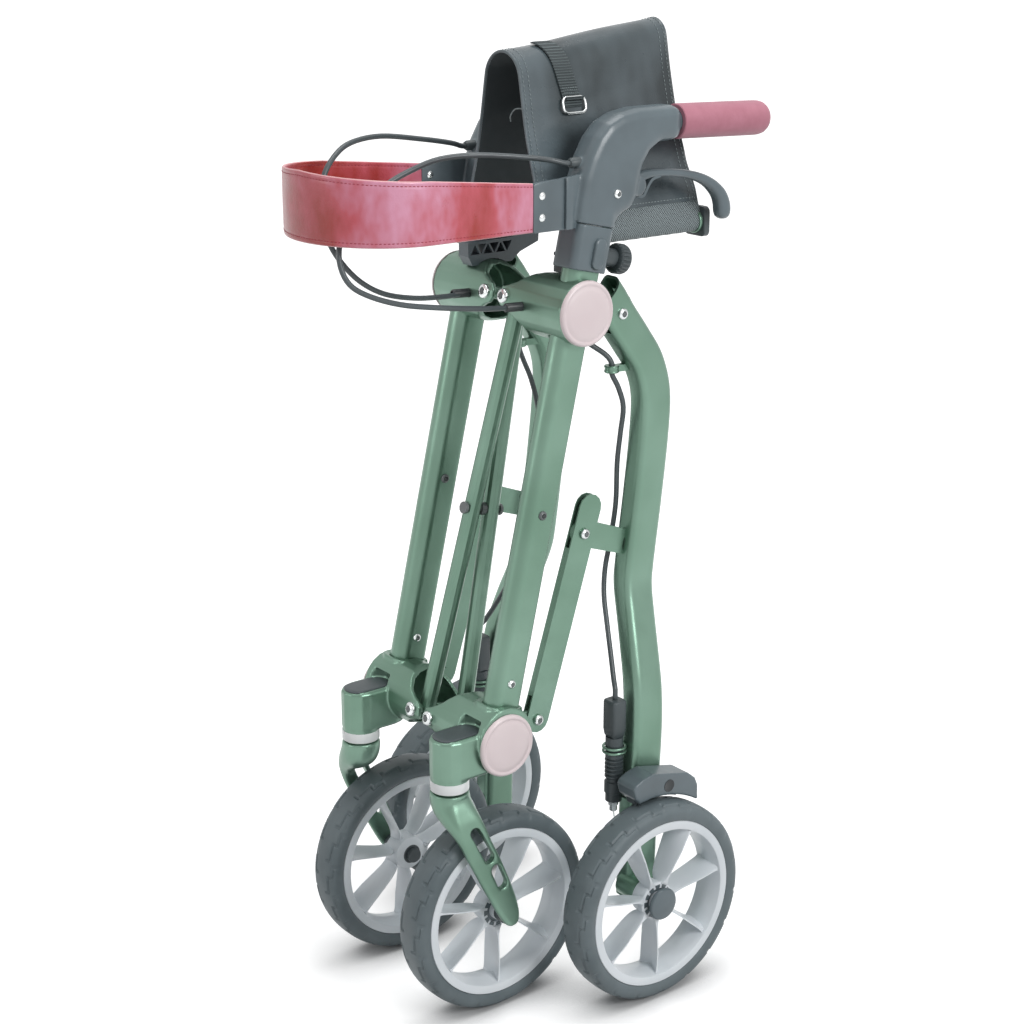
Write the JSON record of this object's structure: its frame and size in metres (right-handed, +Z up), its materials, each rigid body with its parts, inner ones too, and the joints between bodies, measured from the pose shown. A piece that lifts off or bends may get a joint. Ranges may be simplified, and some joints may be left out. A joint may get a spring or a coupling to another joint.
{
  "type": "folding rollator",
  "caption": "Side-folding walking frame on wheels, shown folded, with cross brace, sliding hubs, tent-shaped seat, backrest strap, grips and cable brakes.",
  "frame": {"origin": "on the ground under the middle of the folded frame's bounding box", "axes": "+Z up, -Y the way it rolls forward, +X the user's left; the frame is symmetric about X = 0"},
  "size_m": [0.346, 0.4649, 0.9174],
  "materials": {
    "green_metal": "satin green paint",
    "cap_plastic": "pale pink",
    "grey_plastic": "grey",
    "dark_plastic": "dark grey",
    "steel": "bright",
    "rim_plastic": "off-white",
    "tyre_rubber": "grey",
    "grip_rubber": "pink",
    "strap_leather": "stitched pink-red",
    "seat_leather": "dark grey-green, stitched",
    "webbing": "ribbed webbing",
    "cable_sheath": "dark sheath"
  },
  "bodies": {
    "left_frame": {"left_front_leg": "green_metal", "left_lower_hub": "green_metal", "left_lower_cap": "cap_plastic", "left_collar": "grey_plastic"},
    "brace_rear": {"brace_rear": "green_metal"},
    "brace_front": {"brace_front": "green_metal", "brace_pivot": "steel"},
    "right_frame": {"right_front_leg": "green_metal", "right_lower_hub": "green_metal", "right_lower_cap": "cap_plastic", "right_collar": "grey_plastic"},
    "left_slider": {"left_upper_hub": "green_metal", "left_upper_cap": "cap_plastic", "left_seat_bracket": "grey_plastic", "left_seat_rail": "green_metal"},
    "left_rear_leg": {"left_rear_leg": "green_metal", "left_brake_cover": "grey_plastic", "left_cable_adjuster": "dark_plastic", "left_lower_cable": "cable_sheath"},
    "left_link": {"left_link": "green_metal"},
    "left_rear_wheel": {"left_rear_tyre": "tyre_rubber", "left_rear_rim": "rim_plastic"},
    "left_brake_shoe": {"left_brake_shoe": "dark_plastic"},
    "left_caster": {"left_fork": "green_metal"},
    "left_front_wheel": {"left_front_tyre": "tyre_rubber", "left_front_rim": "rim_plastic"},
    "left_handle": {"left_handle_casting": "grey_plastic", "left_handle_post": "steel", "left_grip": "grip_rubber"},
    "left_knob": {"left_knob": "dark_plastic"},
    "left_lever": {"left_brake_lever": "grey_plastic"},
    "left_cable": {"left_upper_cable": "cable_sheath"},
    "right_slider": {"right_upper_hub": "green_metal", "right_upper_cap": "cap_plastic", "right_seat_bracket": "grey_plastic", "right_seat_rail": "green_metal"},
    "right_rear_leg": {"right_rear_leg": "green_metal", "right_brake_cover": "grey_plastic", "right_cable_adjuster": "dark_plastic", "right_lower_cable": "cable_sheath"},
    "right_link": {"right_link": "green_metal"},
    "right_rear_wheel": {"right_rear_tyre": "tyre_rubber", "right_rear_rim": "rim_plastic"},
    "right_brake_shoe": {"right_brake_shoe": "dark_plastic"},
    "right_caster": {"right_fork": "green_metal"},
    "right_front_wheel": {"right_front_tyre": "tyre_rubber", "right_front_rim": "rim_plastic"},
    "right_handle": {"right_handle_casting": "grey_plastic", "right_handle_post": "steel", "right_grip": "grip_rubber"},
    "right_knob": {"right_knob": "dark_plastic"},
    "right_lever": {"right_brake_lever": "grey_plastic"},
    "right_cable": {"right_upper_cable": "cable_sheath"},
    "left_seat": {"seat_left": "seat_leather", "pull_strap": "webbing"},
    "right_seat": {"seat_right": "seat_leather"},
    "strap_left_rear": {"strap_left_rear": "strap_leather"},
    "strap_left_front": {"strap_left_front": "strap_leather"},
    "strap_right_front": {"strap_right_front": "strap_leather"},
    "strap_right_rear": {"strap_right_rear": "strap_leather"}
  },
  "joints": [
    {"name": "fold", "type": "hinge", "parent": "left_frame", "child": "brace_rear", "pos_m": [0.01425, -0.07535, 0.27246], "axis": [0, -0.9748, 0.2233], "range_deg": [0, 45.53], "deforming": ["seat_left", "seat_right", "pull_strap", "strap_left_rear", "strap_left_front", "strap_right_front", "strap_right_rear", "left_upper_cable", "right_upper_cable", "left_lower_cable", "right_lower_cable"]},
    {"name": "brace_cross", "type": "hinge", "parent": "brace_rear", "child": "brace_front", "pos_m": [0, -0.04094, 0.47196], "axis": [0, -0.9748, 0.2233], "range_deg": [-91.11, 0]},
    {"name": "right_frame_fold", "type": "hinge", "parent": "brace_front", "child": "right_frame", "pos_m": [-0.01425, -0.09679, 0.27737], "axis": [0, -0.9748, 0.2233], "range_deg": [0, 45.58]},
    {"name": "left_slider_fold", "type": "hinge", "parent": "brace_front", "child": "left_slider", "pos_m": [0.01425, 0.00419, 0.66901], "axis": [0, -0.9748, 0.2233], "range_deg": [0, 45.58]},
    {"name": "right_slider_fold", "type": "hinge", "parent": "brace_rear", "child": "right_slider", "pos_m": [-0.01425, 0.00419, 0.66901], "axis": [0, -0.9748, 0.2233], "range_deg": [-45.58, 0]},
    {"name": "left_rear_leg_swing", "type": "hinge", "parent": "left_slider", "child": "left_rear_leg", "pos_m": [0.075, 0.05505, 0.661], "axis": [1, 0, 0], "range_deg": [0, 42.51]},
    {"name": "left_link_swing", "type": "hinge", "parent": "left_frame", "child": "left_link", "pos_m": [0.075, -0.03475, 0.2813], "axis": [1, 0, 0], "range_deg": [-51.04, 0]},
    {"name": "left_rear_wheel_roll", "type": "hinge", "parent": "left_rear_leg", "child": "left_rear_wheel", "pos_m": [0.155, 0.04605, 0.1], "axis": [1, 0, 0], "continuous": true},
    {"name": "left_caster_swivel", "type": "hinge", "parent": "left_frame", "child": "left_caster", "pos_m": [0.074, -0.13445, 0.235], "axis": [0, 0, 1], "range_deg": [-15, 15]},
    {"name": "left_front_wheel_roll", "type": "hinge", "parent": "left_caster", "child": "left_front_wheel", "pos_m": [0.074, -0.08495, 0.1], "axis": [1, 0, 0], "continuous": true},
    {"name": "left_knob_turn", "type": "hinge", "parent": "left_frame", "child": "left_knob", "pos_m": [0.076, 0.05618, 0.71014], "axis": [0, 0.9748, -0.2233], "continuous": true},
    {"name": "right_rear_leg_swing", "type": "hinge", "parent": "right_slider", "child": "right_rear_leg", "pos_m": [-0.075, 0.05505, 0.661], "axis": [1, 0, 0], "range_deg": [0, 42.51]},
    {"name": "right_link_swing", "type": "hinge", "parent": "right_frame", "child": "right_link", "pos_m": [-0.075, -0.03475, 0.2813], "axis": [1, 0, 0], "range_deg": [-51.04, 0]},
    {"name": "right_rear_wheel_roll", "type": "hinge", "parent": "right_rear_leg", "child": "right_rear_wheel", "pos_m": [-0.155, 0.04605, 0.1], "axis": [1, 0, 0], "continuous": true},
    {"name": "right_caster_swivel", "type": "hinge", "parent": "right_frame", "child": "right_caster", "pos_m": [-0.074, -0.13445, 0.235], "axis": [0, 0, 1], "range_deg": [-15, 15]},
    {"name": "right_front_wheel_roll", "type": "hinge", "parent": "right_caster", "child": "right_front_wheel", "pos_m": [-0.074, -0.08495, 0.1], "axis": [1, 0, 0], "continuous": true},
    {"name": "right_knob_turn", "type": "hinge", "parent": "right_frame", "child": "right_knob", "pos_m": [-0.076, 0.05618, 0.71014], "axis": [0, 0.9748, -0.2233], "continuous": true},
    {"name": "left_height", "type": "slide", "parent": "left_frame", "child": "left_handle", "axis": [0, 0.2233, 0.9748], "range_m": [0, 0.1], "deforming": ["left_upper_cable", "right_upper_cable"]},
    {"name": "right_height", "type": "slide", "parent": "right_frame", "child": "right_handle", "axis": [0, 0.2233, 0.9748], "range_m": [0, 0.1]},
    {"name": "left_lever_squeeze", "type": "hinge", "parent": "left_handle", "child": "left_lever", "pos_m": [0.076, 0.07105, 0.776], "axis": [1, 0, 0], "range_deg": [-12, 14], "stiffness_Nm_per_rad": 4},
    {"name": "left_shoe_press", "type": "hinge", "parent": "left_rear_leg", "child": "left_brake_shoe", "pos_m": [0.137, 0.08805, 0.211], "axis": [1, 0, 0], "range_deg": [-1.4, 1.6]},
    {"name": "left_cable_run", "type": "slide", "parent": "left_handle", "child": "left_cable", "axis": [0, -0.2233, -0.9748], "range_m": [0, 0.1416], "deforming": ["left_upper_cable"]},
    {"name": "right_lever_squeeze", "type": "hinge", "parent": "right_handle", "child": "right_lever", "pos_m": [-0.076, 0.07105, 0.776], "axis": [1, 0, 0], "range_deg": [-12, 14], "stiffness_Nm_per_rad": 4},
    {"name": "right_shoe_press", "type": "hinge", "parent": "right_rear_leg", "child": "right_brake_shoe", "pos_m": [-0.137, 0.08805, 0.211], "axis": [1, 0, 0], "range_deg": [-1.4, 1.6]},
    {"name": "right_cable_run", "type": "slide", "parent": "right_handle", "child": "right_cable", "axis": [0, -0.2233, -0.9748], "range_m": [0, 0.1416], "deforming": ["right_upper_cable"]},
    {"name": "seat_left_swing", "type": "hinge", "parent": "left_slider", "child": "left_seat", "pos_m": [0.0505, 0.03605, 0.73], "axis": [0, 1, 0], "range_deg": [-79.96, 0]},
    {"name": "seat_fold", "type": "hinge", "parent": "left_seat", "child": "right_seat", "pos_m": [0, -0.01295, 0.91578], "axis": [0, 1, 0], "range_deg": [0, 159.86]},
    {"name": "strap_left_rear_swing", "type": "hinge", "parent": "left_handle", "child": "strap_left_rear", "pos_m": [0.084, -0.03795, 0.745], "axis": [0, 0, 1], "range_deg": [-75.04, 0]},
    {"name": "strap_left_bend", "type": "hinge", "parent": "strap_left_rear", "child": "strap_left_front", "pos_m": [0.084, -0.15395, 0.745], "axis": [0, 0, 1], "range_deg": [0, 43.28]},
    {"name": "strap_nose_bend", "type": "hinge", "parent": "strap_left_front", "child": "strap_right_front", "pos_m": [0, -0.23095, 0.745], "axis": [0, 0, 1], "range_deg": [0, 63.58]},
    {"name": "strap_right_bend", "type": "hinge", "parent": "strap_right_front", "child": "strap_right_rear", "pos_m": [-0.084, -0.15395, 0.745], "axis": [0, 0, 1], "range_deg": [0, 43.28]}
  ],
  "couplings": [
    {"joint": "brace_cross", "follows": "fold", "ratio": -2},
    {"joint": "right_frame_fold", "follows": "fold", "ratio": 1},
    {"joint": "left_slider_fold", "follows": "fold", "ratio": 1},
    {"joint": "right_slider_fold", "follows": "fold", "ratio": -1},
    {"joint": "left_rear_leg_swing", "follows": "fold", "ratio": 0.9325},
    {"joint": "left_link_swing", "follows": "fold", "ratio": -1.12},
    {"joint": "right_rear_leg_swing", "follows": "fold", "ratio": 0.9325},
    {"joint": "right_link_swing", "follows": "fold", "ratio": -1.12},
    {"joint": "right_height", "follows": "left_height", "ratio": 1},
    {"joint": "left_shoe_press", "follows": "left_lever_squeeze", "ratio": 0.107},
    {"joint": "left_cable_run", "follows": "fold", "m_per_rad": 0.17796},
    {"joint": "right_shoe_press", "follows": "right_lever_squeeze", "ratio": 0.107},
    {"joint": "right_cable_run", "follows": "fold", "m_per_rad": 0.17796},
    {"joint": "seat_left_swing", "follows": "fold", "ratio": -1.755},
    {"joint": "seat_fold", "follows": "fold", "ratio": 3.51},
    {"joint": "strap_left_rear_swing", "follows": "fold", "ratio": -1.6471},
    {"joint": "strap_left_bend", "follows": "fold", "ratio": 0.9494},
    {"joint": "strap_nose_bend", "follows": "fold", "ratio": 1.3954},
    {"joint": "strap_right_bend", "follows": "fold", "ratio": 0.9494}
  ]
}
